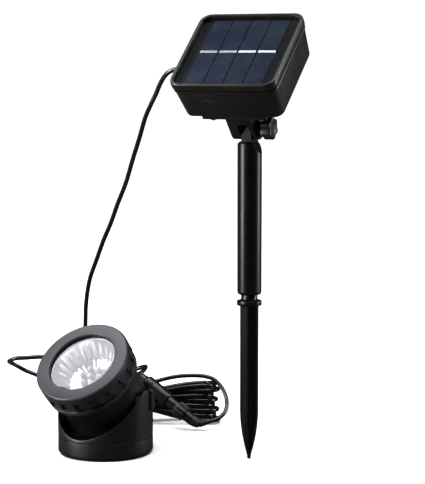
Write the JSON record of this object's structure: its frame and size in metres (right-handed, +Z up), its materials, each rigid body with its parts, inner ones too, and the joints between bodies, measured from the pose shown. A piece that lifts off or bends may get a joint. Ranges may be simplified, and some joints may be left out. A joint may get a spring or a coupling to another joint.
{
  "type": "underwater pond light",
  "caption": "Tilting pond spotlight on a weighted base, wired through an inline connector to a tilting solar head on a ground stake.",
  "frame": {"origin": "centre of the lamp base's underside, on the surface that the lamp stands on", "axes": "+Z up; the lamp faces -Y and tilts about X; the stake stands towards +X and a little to +Y"},
  "size_m": [0.2744, 0.1975, 0.3346],
  "materials": {
    "foot_rubber": "matt",
    "lamp_plastic": "fine moulded texture",
    "ring_plastic": "satin, slightly purple grey face",
    "washer_plastic": "smooth",
    "ballast_iron": "rough",
    "screw_steel": "zinc plated",
    "lens_clear": "polished",
    "seal_rubber": "matt",
    "reflector_chrome": "polished, fluted",
    "led_board_white": "white solder mask",
    "led_clear": "clear epoxy",
    "potting_resin": "smooth resin",
    "boot_rubber": "satin",
    "solar_plastic": "satin black moulding",
    "pv_backing": "matt",
    "pv_silicon": "dark blue polycrystalline",
    "pv_busbar": "tinned",
    "pv_resin": "clear resin",
    "inner_plastic": "plain",
    "cell_wrap": "plain heat-shrink sleeve",
    "contact_metal": "nickel plated",
    "circuit_green": "solder mask",
    "component_black": "plain",
    "stake_plastic": "glossy black",
    "cord_pvc": "satin flexible sheath",
    "tie_plastic": "plain",
    "connector_plastic": "satin"
  },
  "bodies": {
    "root": {"foot_pad": "foot_rubber", "base_bottom": "lamp_plastic", "ballast_disc": "ballast_iron", "ballast_screws": "screw_steel", "base_cradle": "lamp_plastic", "stake_tube": "stake_plastic", "stake_coupler": "stake_plastic", "stake_spike": "stake_plastic", "panel_cord": "cord_pvc", "cord_hank": "cord_pvc", "cord_tie": "tie_plastic", "panel_cord_tail": "cord_pvc", "lamp_cord": "cord_pvc", "connector_socket": "connector_plastic", "connector_plug": "connector_plastic", "coupling_nut": "connector_plastic", "plug_boot": "boot_rubber"},
    "lamp_head": {"head_shell": "lamp_plastic", "pivot_washers": "washer_plastic", "lens_glass": "lens_clear", "lens_seal": "seal_rubber", "reflector": "reflector_chrome", "led_board": "led_board_white", "led_emitters": "led_clear", "head_potting": "potting_resin", "lamp_gland": "boot_rubber"},
    "lens_ring": {"lens_ring": "ring_plastic"},
    "solar_head": {"panel_bezel": "solar_plastic", "pv_board": "pv_backing", "pv_cells": "pv_silicon", "pv_busbars": "pv_busbar", "pv_cover": "pv_resin", "housing_seal": "seal_rubber", "panel_housing": "solar_plastic", "housing_screws": "screw_steel", "battery_holder": "inner_plastic", "battery_cell": "cell_wrap", "battery_contacts": "contact_metal", "control_board": "circuit_green", "board_parts": "component_black", "switch_body": "inner_plastic", "panel_gland": "boot_rubber", "fork_bracket": "solar_plastic", "bracket_screws": "screw_steel", "tilt_bolt": "screw_steel", "tilt_washer": "washer_plastic"},
    "tilt_knob": {"tilt_knob": "stake_plastic"},
    "switch_button": {"switch_button": "boot_rubber"}
  },
  "joints": [
    {"name": "lamp_tilt", "type": "hinge", "parent": "root", "child": "lamp_head", "pos_m": [0, 0, 0.04], "axis": [1, 0, 0], "range_deg": [-41, 24]},
    {"name": "ring_twist", "type": "hinge", "parent": "lamp_head", "child": "lens_ring", "pos_m": [0, 0, 0.04], "axis": [0, -0.6561, 0.7547], "range_deg": [0, 25]},
    {"name": "panel_tilt", "type": "hinge", "parent": "root", "child": "solar_head", "pos_m": [0.107, 0.036, 0.251], "axis": [0.9954, 0.0958, 0], "range_deg": [-41, 49]},
    {"name": "knob_turn", "type": "hinge", "parent": "solar_head", "child": "tilt_knob", "pos_m": [0.107, 0.036, 0.251], "axis": [0.9954, 0.0958, 0], "continuous": true},
    {"name": "switch_press", "type": "slide", "parent": "solar_head", "child": "switch_button", "axis": [0.0629, -0.653, 0.7547], "range_m": [0, 0.0015], "stiffness_N_per_m": 300}
  ]
}
